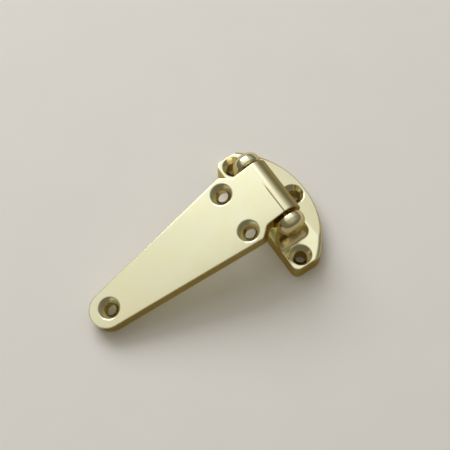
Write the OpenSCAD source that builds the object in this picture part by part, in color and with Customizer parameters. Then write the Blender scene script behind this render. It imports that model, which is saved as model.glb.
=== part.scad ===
// Icebox hinge: an offset strap hinge cast in polished brass.
// The origin is on the back of the frame leaf, straight below the hinge pin.
// Y runs along the pin, the strap points to -X, and the arc of the leaf faces +X.

/* [Frame leaf] */
// Width of the leaf along the pin
leaf_w = 51; // [48:0.5:60]
// Thickness of the flat pads at both ends
leaf_t = 7; // [5:0.5:9]
// Straight front edge, measured from the pin
front_reach = 5.4; // [5.3:0.1:7]
// Crown of the arc, measured from the pin
crown_reach = 16.5; // [16.3:0.1:20]
// Point where the sides meet the arc, measured from the pin
side_reach = 4.8; // [3.8:0.1:6]
// Rounding of the two front corners
front_corner_r = 2.5; // [1:0.1:3.5]
// Rounding of the corners between sides and arc
side_corner_r = 4; // [1:0.1:5]
// Rounding of the upper edge along the arc
rim_r = 1.6; // [0.5:0.1:3]
// Line where the back begins to fall, measured from the pin
fall_start = 8.9; // [8.5:0.1:10]
// Slope of the falling back in degrees
fall_angle = 6; // [1:0.5:10]

/* [Ears] */
// Height of the pin above the back of the leaf
pin_h = 20.2; // [18:0.1:24]
// Radius of the rounded ears round the pin
ear_r = 5.2; // [4.9:0.1:5.3]
// Thickness of an ear along the pin
ear_t = 5.4; // [5.2:0.1:6]
// Rounding of the outer end of an ear
ear_end_r = 3.4; // [2.5:0.1:3.6]
// Rounding of the inner edge of an ear
ear_lip_r = 1.2; // [0.4:0.1:1.3]
// Foot of an ear along the pin
foot_t = 5.1; // [4.8:0.1:5.6]
// Rounding of the foot's outer corner
foot_corner_r = 3.6; // [3.4:0.1:4]
// Depth of the cove above the foot
cove_d = 2.8; // [2:0.1:2.9]
// Height of the cove above the pad
cove_h = 8; // [5:0.1:9]

/* [Strap leaf] */
// Length from the pin to the tip
strap_l = 75.6; // [65:0.2:95]
// Thickness of the strap
strap_t = 5.8; // [5.8:0.1:7]
// Top face of the strap above the pin
strap_rise = 5.75; // [5.3:0.05:5.8]
// Width across the shoulders
strap_w = 27.7; // [25:0.1:32]
// Crest of the shoulders, measured from the pin
shoulder_u = 10.7; // [10.2:0.1:12]
// Slope of the shoulders in degrees
shoulder_angle = 41; // [35:1:55]
// Rounding of the shoulder crests
crest_r = 1.8; // [0.5:0.1:2.5]
// Rounding between neck and shoulders
neck_r = 1.8; // [1:0.1:2]
// Width of the neck and the barrel
neck_w = 21.3; // [18:0.1:23]
// Radius of the rounded tip
tip_r = 6.65; // [5.5:0.05:8]
// Radius of the barrel round the pin, ground flush with the top face
barrel_r = 5.9; // [5.85:0.05:6.3]

/* [Hinge pin] */
// Diameter of the pin
pin_d = 3; // [2.4:0.1:3.4]
// Running clearance between pin and barrel, on the radius
pin_clear = 0.05; // [0.02:0.01:0.1]
// Driving fit between pin and ears, on the radius
pin_grip = 0.01; // [0.005:0.005:0.02]
// Play between barrel and ear on each side
side_play = 0.8; // [0.2:0.05:1]

/* [Screw holes] */
// Diameter of the holes
hole_d = 4.3; // [3.5:0.1:5]
// Diameter of the countersinks on the face
sink_d = 8; // [7:0.1:8.4]
// Included angle of the countersinks
sink_angle = 90; // [82:1:100]
// End holes of the frame leaf, in front of the pin
end_hole_x = 0.35; // [0:0.05:0.7]
// Distance between the end holes of the frame leaf
end_hole_gap = 42.1; // [41:0.1:44]
// Back hole of the frame leaf, measured from the pin
back_hole_x = 11.7; // [11.3:0.1:12]
// Paired holes of the strap, measured from the pin
pair_hole_u = 13.4; // [13:0.1:16]
// Distance between the paired holes of the strap
pair_hole_gap = 16.7; // [15:0.1:18]
// Tip hole of the strap, measured from its round tip
tip_hole_inset = 7.5; // [6:0.1:9]

/* [Hidden] */
$fn = 96;
brass = "#d9c57c";
// Amount by which cutters and joined shapes pass each other
over = 1;
// Amount by which a slanted rounding passes the edges it meets, so that they cross
bite = 0.005;

arc_sag = crown_reach - side_reach;
arc_r = (pow(leaf_w / 2, 2) + arc_sag * arc_sag) / (2 * arc_sag);
arc_x = crown_reach - arc_r;

ear_y = neck_w / 2 + side_play;
ear_end_y = ear_y + ear_t;
// Foot of the web under an ear, towards the arc and along the pin
foot_x = ear_r + cove_d;
foot_y = ear_y + foot_t;
cove_r = (cove_h * cove_h + cove_d * cove_d) / (2 * cove_d);
cove_z = leaf_t + cove_h;

strap_back = strap_t - strap_rise;
tip_hole_u = strap_l - tip_hole_inset;
// Corners of the strap's outline, on the side of +Y
neck_end = [(strap_w - neck_w) / 2 / tan(shoulder_angle) - shoulder_u, neck_w / 2];
crest = [-shoulder_u, strap_w / 2];
tip_c = [tip_r - strap_l, 0];
edge_end = touch(crest, tip_c, tip_r, -1);
ramp = unit(crest - neck_end);
edge = unit(edge_end - crest);
// Angle at which the tip of the strap rests on the plane of the leaf's back
droop = asin(pin_h / norm([strap_l, strap_back])) - atan2(strap_back, strap_l);

sink_h = (sink_d - hole_d) / 2 / tan(sink_angle / 2);
back_hole_z = leaf_t - (back_hole_x - fall_start) * tan(fall_angle);

function unit(v) = v / norm(v);

// Point where the line from p touches a circle, on the left (1) or right (-1) of the way to its centre
function touch(p, c, r, side) =
    let (way = c - p, far = norm(way), turn = side * acos(r / far), back = -unit(way) * r)
    c + [back[0] * cos(-turn) - back[1] * sin(-turn), back[0] * sin(-turn) + back[1] * cos(-turn)];

// Piece between a corner at p, whose edges leave along d1 and d2, and the arc that rounds it
module corner_web(p, d1, d2, r, past = 0) {
    half = acos(d1 * d2) / 2;
    t = r / tan(half);
    c = p + unit(d1 + d2) * r / sin(half);
    difference() {
        polygon([p - unit(d1 + d2) * over, p + d1 * t, c, p + d2 * t]);
        translate(c) circle(r + past);
    }
}

module both_sides() {
    children();
    mirror([0, 1, 0]) children();
}

// Countersunk screw hole whose rim lies at z = 0
module screw_hole(depth) {
    sink_top = sink_d / 2 + over * tan(sink_angle / 2);
    translate([0, 0, -depth - over]) cylinder(h = depth + 2 * over, d = hole_d);
    translate([0, 0, -sink_h]) cylinder(h = sink_h + over, r1 = hole_d / 2, r2 = sink_top);
}

// Corner between one side of the leaf and its arc
module side_corner_web() {
    c = [arc_x + sqrt(pow(arc_r - side_corner_r, 2) - pow(leaf_w / 2 - side_corner_r, 2)),
         leaf_w / 2 - side_corner_r];
    out = side_corner_r + over;
    difference() {
        polygon([c, c + [0, out], [side_reach + over, leaf_w / 2 + over], c + unit(c - [arc_x, 0]) * out]);
        translate(c) circle(side_corner_r + bite);
    }
}

// Outline of the leaf, apart from its arc
module leaf_outline() {
    difference() {
        translate([-front_reach, -leaf_w / 2]) square([front_reach + crown_reach + over, leaf_w]);
        for (side = [-1, 1])
            corner_web([-front_reach, side * leaf_w / 2], [1, 0], [0, -side], front_corner_r);
        side_corner_web();
        mirror([0, 1]) side_corner_web();
    }
}

// Half-moon plate with its rounded rim and falling back
module leaf_plate() {
    difference() {
        intersection() {
            translate([arc_x, 0, 0]) rotate_extrude() difference() {
                square([arc_r, leaf_t]);
                corner_web([arc_r, leaf_t], [-1, 0], [0, -1], rim_r);
            }
            translate([0, 0, -over]) linear_extrude(leaf_t + 2 * over) leaf_outline();
        }
        translate([fall_start, -leaf_w, leaf_t]) rotate([0, fall_angle, 0])
            cube([crown_reach, 2 * leaf_w, leaf_t]);
    }
}

// Wall with a cove above its foot, drawn as distance outwards and height
module coved_wall(inner, foot) {
    root = leaf_t - over;
    waist = [foot - cove_d, cove_z];
    difference() {
        polygon([[inner, root], [inner, pin_h], [waist[0], pin_h], waist, [foot, leaf_t], [foot, root]]);
        translate(waist + [cove_r, 0]) circle(cove_r);
    }
}

// Web that carries an ear, with a cove on two sides and round the corner between them
module ear_web() {
    corner = [foot_x - foot_corner_r, foot_y - foot_corner_r];
    difference() {
        intersection() {
            translate([0, foot_y + over, 0]) rotate([90, 0, 0])
                linear_extrude(foot_t + 2 * over) coved_wall(-ear_r, foot_x);
            translate([-ear_r - over, 0, 0]) rotate([90, 0, 90])
                linear_extrude(foot_x + ear_r + 2 * over) coved_wall(ear_y, foot_y);
        }
        translate(corner) difference() {
            translate([0, 0, leaf_t]) cube([foot_corner_r + over, foot_corner_r + over, pin_h]);
            rotate_extrude() coved_wall(0, foot_corner_r);
        }
        linear_extrude(pin_h + over) corner_web([-ear_r, ear_y], [1, 0], [0, 1], ear_lip_r);
    }
}

// Rounded ear, turned about the pin
module ear_top() {
    translate([0, ear_y, pin_h]) rotate([-90, 0, 0]) rotate_extrude() difference() {
        square([ear_r, ear_t]);
        corner_web([ear_r, ear_t], [-1, 0], [0, -1], ear_end_r);
        corner_web([ear_r, 0], [-1, 0], [0, 1], ear_lip_r);
    }
}

module frame_leaf() color(brass) difference() {
    union() {
        leaf_plate();
        both_sides() {
            ear_web();
            ear_top();
        }
    }
    translate([0, 0, pin_h]) rotate([90, 0, 0])
        cylinder(h = 2 * (ear_end_y + over), r = pin_d / 2 - pin_grip, center = true);
    for (side = [-1, 1])
        translate([-end_hole_x, side * end_hole_gap / 2, leaf_t]) screw_hole(leaf_t);
    translate([back_hole_x, 0, back_hole_z]) screw_hole(leaf_t);
}

// Outline of the strap without its barrel, laid out along -X
module strap_outline() {
    difference() {
        union() {
            translate(tip_c) circle(tip_r);
            translate([crest[0] - over, -neck_w / 2]) square([over - crest[0], neck_w]);
            for (side = [-1, 1]) flip_side(side) {
                polygon([tip_c, edge_end, crest, neck_end, [neck_end[0], 0]]);
                corner_web(neck_end, [1, 0], ramp, neck_r, bite);
            }
        }
        for (side = [-1, 1]) flip_side(side) corner_web(crest, -ramp, edge, crest_r, bite);
    }
}

// Mirrors an outline across the strap's centre line where side is -1
module flip_side(side) {
    if (side > 0) children();
    else mirror([0, 1]) children();
}

// Strap in its level pose about the pin
module strap_level() {
    difference() {
        union() {
            translate([0, 0, -strap_back]) linear_extrude(strap_t) strap_outline();
            difference() {
                rotate([90, 0, 0]) cylinder(h = neck_w, r = barrel_r, center = true);
                translate([-barrel_r, -neck_w, strap_rise]) cube([2 * barrel_r, 2 * neck_w, barrel_r]);
            }
        }
        rotate([90, 0, 0]) cylinder(h = neck_w + 2 * over, r = pin_d / 2 + pin_clear, center = true);
        for (side = [-1, 1])
            translate([-pair_hole_u, side * pair_hole_gap / 2, strap_rise]) screw_hole(strap_t);
        translate([-tip_hole_u, 0, strap_rise]) screw_hole(strap_t);
    }
}

module strap_leaf() color(brass) translate([0, 0, pin_h]) rotate([0, -droop, 0]) strap_level();

// Pin driven through both ears and dressed flush with them
module hinge_pin() color(brass) translate([0, 0, pin_h]) rotate([90, 0, 0])
    cylinder(h = 2 * ear_end_y, d = pin_d, center = true);

frame_leaf();
strap_leaf();
hinge_pin();
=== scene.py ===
import math

import bpy
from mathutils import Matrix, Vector

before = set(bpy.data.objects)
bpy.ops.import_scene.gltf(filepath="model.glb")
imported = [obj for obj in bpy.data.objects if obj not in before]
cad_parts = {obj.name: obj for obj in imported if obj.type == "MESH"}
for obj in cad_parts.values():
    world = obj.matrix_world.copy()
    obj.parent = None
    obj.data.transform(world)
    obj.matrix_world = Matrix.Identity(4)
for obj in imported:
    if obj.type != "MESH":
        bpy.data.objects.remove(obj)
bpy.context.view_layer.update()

scene = bpy.context.scene
print("frame loaded:", sorted(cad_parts))

# strap edges eased on the polishing wheel, in metres and degrees
easedStrap = {
    "seam": 0.000001,
    "flatAngle": 0.2,
    "sharpAngle": 28.0,
    "width": 0.0007,
    "segments": 4,
    "faceWeight": 60,
}


def easeStrapEdges(strap):
    weld = strap.modifiers.new("joinSeams", "WELD")
    weld.merge_threshold = easedStrap["seam"]
    flats = strap.modifiers.new("clearFlats", "DECIMATE")
    flats.decimate_type = "DISSOLVE"
    flats.angle_limit = math.radians(easedStrap["flatAngle"])
    edge = strap.modifiers.new("easedEdge", "BEVEL")
    edge.limit_method = "ANGLE"
    edge.angle_limit = math.radians(easedStrap["sharpAngle"])
    edge.width = easedStrap["width"]
    edge.segments = easedStrap["segments"]
    edge.use_clamp_overlap = True
    edge.miter_outer = "MITER_ARC"
    normals = strap.modifiers.new("evenShading", "WEIGHTED_NORMAL")
    normals.keep_sharp = False
    normals.weight = easedStrap["faceWeight"]


easeStrapEdges(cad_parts["strap_leaf"])
print("strap edges eased")


def calculator(nodes, links):
    def calculate(kind, first, second):
        step = nodes.new("ShaderNodeMath")
        step.operation = kind
        for socket, value in zip(step.inputs, (first, second)):
            if isinstance(value, float):
                socket.default_value = value
            else:
                links.new(value, socket)
        return step.outputs["Value"]

    def edge(across, limits):
        fade = nodes.new("ShaderNodeMapRange")
        fade.interpolation_type = "SMOOTHSTEP"
        fade.inputs["From Min"].default_value = limits[0]
        fade.inputs["From Max"].default_value = limits[1]
        links.new(across, fade.inputs["Value"])
        return fade.outputs["Result"]

    return calculate, edge


def mixColours(nodes, links, factor, first, second):
    mix = nodes.new("ShaderNodeMix")
    mix.data_type = "RGBA"
    links.new(factor, mix.inputs["Factor"])
    for socket, value in (("A", first), ("B", second)):
        if isinstance(value, tuple):
            mix.inputs[socket].default_value = value
        else:
            links.new(value, mix.inputs[socket])
    return mix.outputs["Result"]


def addNoise(nodes, links, where, scale, detail):
    noise = nodes.new("ShaderNodeTexNoise")
    noise.inputs["Scale"].default_value = scale
    noise.inputs["Detail"].default_value = detail
    links.new(where, noise.inputs["Vector"])
    return noise.outputs["Fac"]


def addRange(nodes, links, value, limits, results):
    spread = nodes.new("ShaderNodeMapRange")
    for socket, number in zip(("From Min", "From Max", "To Min", "To Max"), limits + results):
        spread.inputs[socket].default_value = number
    links.new(value, spread.inputs["Value"])
    return spread.outputs["Result"]


def addBump(nodes, links, height, normal, strength, distance):
    bump = nodes.new("ShaderNodeBump")
    bump.inputs["Strength"].default_value = strength
    bump.inputs["Distance"].default_value = distance
    links.new(height, bump.inputs["Height"])
    links.new(normal, bump.inputs["Normal"])
    return bump.outputs["Normal"]


# barrel end of the strap: satin barrel, painted shade under the barrel and a painted shade line for the
# crease in front of it, in metres along the strap
strapBarrel = {
    "pinHeight": 0.0202,
    "droop": 15.46,
    "satinFrom": (0.0010, 0.0020),
    "satin": 0.36,
    "underShadeFrom": (0.0022, 0.0052),
    "underShadeColour": (0.42, 0.37, 0.19, 1.0),
    "lineAt": 0.00058,
    "lineHalf": 0.00042,
    "lineFade": (0.003, -0.001),
    "creaseShadeColour": (0.26, 0.18, 0.07, 1.0),
    "crowning": 2.0,
}


def dressBarrel(nodes, links, where, roughness, colour, normal):
    calculate, edge = calculator(nodes, links)
    split = nodes.new("ShaderNodeSeparateXYZ")
    links.new(where, split.inputs["Vector"])
    droop = math.radians(strapBarrel["droop"])
    level = calculate("MULTIPLY", split.outputs["X"], math.cos(droop))
    climb = calculate("SUBTRACT", split.outputs["Z"], strapBarrel["pinHeight"])
    along = calculate("ADD", level, calculate("MULTIPLY", climb, math.sin(droop)))

    satin = edge(along, strapBarrel["satinFrom"])
    rougher = calculate("MULTIPLY", satin, calculate("SUBTRACT", strapBarrel["satin"], roughness))
    roughness = calculate("ADD", roughness, rougher)

    # painted shade: the barrel's underside toward the leaf is coloured dark brown
    underShade = edge(along, strapBarrel["underShadeFrom"])
    colour = mixColours(nodes, links, underShade, colour, strapBarrel["underShadeColour"])
    # painted shade: a dark line along the crease where the strap's face meets the barrel
    away = calculate("ABSOLUTE", calculate("SUBTRACT", along, strapBarrel["lineAt"]), 0.0)
    fading = edge(split.outputs["Y"], strapBarrel["lineFade"])
    creaseShade = calculate("MULTIPLY", edge(away, (strapBarrel["lineHalf"], 0.0)), fading)
    colour = mixColours(nodes, links, creaseShade, colour, strapBarrel["creaseShadeColour"])

    square = calculate("MULTIPLY", split.outputs["Y"], split.outputs["Y"])
    crown = calculate("MULTIPLY", square, -strapBarrel["crowning"])  # face slightly crowned by the wheel
    normal = addBump(nodes, links, crown, normal, 1.0, 1.0)
    return roughness, colour, normal


# brass as it comes off the wheel: colours, gloss, fine lines and handling marks, with painted shade on
# upright faces and in corners
polishedBrass = {
    "bright": (0.92, 0.91, 0.65, 1.0),
    "warm": (0.91, 0.88, 0.57, 1.0),
    "warmFrom": (0.35, 0.75),
    "edgeTint": (0.80, 0.64, 0.34, 1.0),
    "flankShade": (0.59, 0.50, 0.26, 1.0),
    "flankLean": (0.95, 0.35),
    "recessShade": (0.62, 0.49, 0.20, 1.0),
    "recessReach": 0.004,
    "recessFrom": (0.20, 0.75),
    "recessShare": (0.9, 0.0),
    "recessRays": 8,
    "roughness": (0.16, 0.21),
    "roughnessFrom": (0.3, 0.7),
    "cloudScale": 90.0,
    "cloudDetail": 4.0,
    "lineScale": (260.0, 2600.0, 900.0),
    "lineDetail": 3.0,
    "lineDepth": 0.006,
    "rippleScale": 150.0,
    "rippleDetail": 1.0,
    "rippleDepth": 0.008,
    "relief": 0.001,
    "edgeRound": 0.0006,
    "edgeRays": 6,
}


def makeBrass(name, barrel):
    material = bpy.data.materials.new(name)
    material.use_nodes = True
    nodes, links = material.node_tree.nodes, material.node_tree.links
    calculate, edge = calculator(nodes, links)
    shader = nodes["Principled BSDF"]
    shader.inputs["Metallic"].default_value = 1.0
    shader.inputs["Specular Tint"].default_value = polishedBrass["edgeTint"]

    place = nodes.new("ShaderNodeTexCoord")
    where = place.outputs["Object"]
    stretch = nodes.new("ShaderNodeMapping")
    stretch.inputs["Scale"].default_value = polishedBrass["lineScale"]
    links.new(where, stretch.inputs["Vector"])

    # broad handling marks, fine wheel lines and the cast skin under the polish
    cloud = addNoise(nodes, links, where, polishedBrass["cloudScale"], polishedBrass["cloudDetail"])
    lines = addNoise(nodes, links, stretch.outputs["Vector"], 1.0, polishedBrass["lineDetail"])
    ripple = addNoise(nodes, links, where, polishedBrass["rippleScale"], polishedBrass["rippleDetail"])

    roughness = addRange(nodes, links, cloud, polishedBrass["roughnessFrom"], polishedBrass["roughness"])
    warmth = addRange(nodes, links, cloud, polishedBrass["warmFrom"], (0.0, 1.0))
    colour = mixColours(nodes, links, warmth, polishedBrass["bright"], polishedBrass["warm"])

    tilt = math.radians(strapBarrel["droop"]) if barrel else 0.0
    upright = nodes.new("ShaderNodeVectorMath")  # painted shade: upright faces get a deeper, darker gold than the buffed faces, partly a less polished finish and partly painted shade
    upright.operation = "DOT_PRODUCT"
    upright.inputs[1].default_value = (-math.sin(tilt), 0.0, math.cos(tilt))
    links.new(place.outputs["Normal"], upright.inputs[0])
    lean = calculate("ABSOLUTE", upright.outputs["Value"], 0.0)
    flankShade = edge(lean, polishedBrass["flankLean"])
    colour = mixColours(nodes, links, flankShade, colour, polishedBrass["flankShade"])

    shelter = nodes.new("ShaderNodeAmbientOcclusion")  # painted shade: corners and hollows darken to a duller gold, partly unpolished brass and partly painted shade
    shelter.samples = polishedBrass["recessRays"]
    shelter.only_local = True
    shelter.inputs["Distance"].default_value = polishedBrass["recessReach"]
    openness = shelter.outputs["AO"]
    dullAndShaded = addRange(nodes, links, openness, polishedBrass["recessFrom"], polishedBrass["recessShare"])
    colour = mixColours(nodes, links, dullAndShaded, colour, polishedBrass["recessShade"])

    soft = nodes.new("ShaderNodeBevel")
    soft.samples = polishedBrass["edgeRays"]
    soft.inputs["Radius"].default_value = polishedBrass["edgeRound"]
    normal = soft.outputs["Normal"]

    if barrel:
        roughness, colour, normal = dressBarrel(nodes, links, where, roughness, colour, normal)
    normal = addBump(nodes, links, ripple, normal, polishedBrass["rippleDepth"], polishedBrass["relief"])
    normal = addBump(nodes, links, lines, normal, polishedBrass["lineDepth"], polishedBrass["relief"])
    links.new(roughness, shader.inputs["Roughness"])
    links.new(colour, shader.inputs["Base Color"])
    links.new(normal, shader.inputs["Normal"])
    return material


brass = makeBrass("polishedBrass", False)
strapBrass = makeBrass("strapBrass", True)
for name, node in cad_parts.items():
    node.data.materials.clear()
    node.data.materials.append(strapBrass if name == "strap_leaf" else brass)
print("brass given to", len(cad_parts), "nodes")

# pale bench under the hinge
bench = {
    "size": 6.0,
    "drop": 0.00002,
    "pale": (0.93, 0.92, 0.89, 1.0),
    "shade": (0.89, 0.88, 0.85, 1.0),
    "roughness": 0.75,
    "grainScale": 40.0,
    "grainDetail": 5.0,
}


def makeBench():
    half = bench["size"] / 2
    mesh = bpy.data.meshes.new("bench")
    corners = [(-half, -half, 0), (half, -half, 0), (half, half, 0), (-half, half, 0)]
    mesh.from_pydata(corners, [], [(0, 1, 2, 3)])
    top = bpy.data.objects.new("bench", mesh)
    scene.collection.objects.link(top)
    material = bpy.data.materials.new("benchTop")
    material.use_nodes = True
    nodes, links = material.node_tree.nodes, material.node_tree.links
    shader = nodes["Principled BSDF"]
    shader.inputs["Roughness"].default_value = bench["roughness"]
    place = nodes.new("ShaderNodeTexCoord")
    grain = addNoise(nodes, links, place.outputs["Object"], bench["grainScale"], bench["grainDetail"])
    colour = mixColours(nodes, links, grain, bench["pale"], bench["shade"])
    links.new(colour, shader.inputs["Base Color"])
    mesh.materials.append(material)
    top.location.z = -bench["drop"]


makeBench()
print("bench laid")

# soft boxes over the bench: where they hang, where they point, size in metres, radiant power
softBoxes = {
    "backLight": {"at": (0.05, 0.95, 0.80), "aim": (0.0, 0.0, 0.0), "size": (0.9, 0.7), "watts": 7.0},
}


def hangSoftBox(name, box):
    lamp = bpy.data.lights.new(name, "AREA")
    lamp.shape = "RECTANGLE"
    lamp.size, lamp.size_y = box["size"]
    lamp.energy = box["watts"]
    holder = bpy.data.objects.new(name, lamp)
    holder.location = box["at"]
    holder.rotation_mode = "QUATERNION"
    holder.rotation_quaternion = (Vector(box["aim"]) - Vector(box["at"])).to_track_quat("-Z", "Y")
    scene.collection.objects.link(holder)


for name, box in softBoxes.items():
    hangSoftBox(name, box)

# dim room with a soft white panel in its ceiling, panel edges in ceiling heights from straight above
room = {
    "wallColour": (1.0, 0.89, 0.69, 1.0),
    "panelColour": (1.0, 1.0, 1.0, 1.0),
    "walls": 0.17,
    "panel": 0.83,
    "lowest": 0.02,
    "left": (-0.36, -0.28),
    "leftSpill": (-1.10, -0.60),
    "leftShare": 0.70,
    "right": (0.77, 0.42),
    "rightSpill": (2.6, 0.42),
    "rightShare": 0.4,
    "front": (0.08, 0.32),
    "frontSpill": (-1.60, -0.30),
    "frontShare": 0.32,
    "back": (2.20, 1.20),
    "backSpill": (6.0, 1.20),
    "backShare": 0.45,
}


def lightRoom():
    world = bpy.data.worlds.new("room")
    world.use_nodes = True
    nodes, links = world.node_tree.nodes, world.node_tree.links
    calculate, edge = calculator(nodes, links)
    air = nodes["Background"]
    place = nodes.new("ShaderNodeTexCoord")
    split = nodes.new("ShaderNodeSeparateXYZ")
    links.new(place.outputs["Generated"], split.inputs["Vector"])
    height = calculate("MAXIMUM", split.outputs["Z"], room["lowest"])
    across = calculate("DIVIDE", split.outputs["X"], height)
    along = calculate("DIVIDE", split.outputs["Y"], height)

    def doubleEdge(side, way):  # a crisp edge with a wider spill of light past it
        share = room[side + "Share"]
        core = calculate("MULTIPLY", edge(way, room[side]), 1.0 - share)
        return calculate("ADD", core, calculate("MULTIPLY", edge(way, room[side + "Spill"]), share))

    lit = calculate("MULTIPLY", doubleEdge("left", across), doubleEdge("right", across))
    lit = calculate("MULTIPLY", lit, doubleEdge("front", along))
    lit = calculate("MULTIPLY", lit, doubleEdge("back", along))
    colour = mixColours(nodes, links, lit, room["wallColour"], room["panelColour"])
    strength = calculate("ADD", calculate("MULTIPLY", lit, room["panel"]), room["walls"])
    links.new(colour, air.inputs["Color"])
    links.new(strength, air.inputs["Strength"])
    scene.world = world


lightRoom()
print("lights up")

# camera where the photograph was taken from, in degrees, metres and millimetres of lens
viewpoint = {
    "azimuth": -34.33,
    "elevation": 65.9,
    "distance": 0.450,
    "target": (-0.01422, 0.00616, 0.0),
    "lens": 99.0,
    "sensor": 36.0,
    "nearest": 0.01,
    "farthest": 20.0,
}


def placeCamera():
    azimuth = math.radians(viewpoint["azimuth"])
    elevation = math.radians(viewpoint["elevation"])
    back = Vector((
        math.sin(azimuth) * math.cos(elevation),
        -math.cos(azimuth) * math.cos(elevation),
        math.sin(elevation),
    ))
    data = bpy.data.cameras.new("bench camera")
    data.lens = viewpoint["lens"]
    data.sensor_width = viewpoint["sensor"]
    data.clip_start = viewpoint["nearest"]
    data.clip_end = viewpoint["farthest"]
    camera = bpy.data.objects.new("bench camera", data)
    camera.location = Vector(viewpoint["target"]) + back * viewpoint["distance"]
    camera.rotation_mode = "QUATERNION"
    camera.rotation_quaternion = (-back).to_track_quat("-Z", "Y")
    scene.collection.objects.link(camera)
    scene.camera = camera


placeCamera()
scene.view_settings.view_transform = "Standard"
print("camera placed")

bpy.context.view_layer.update()
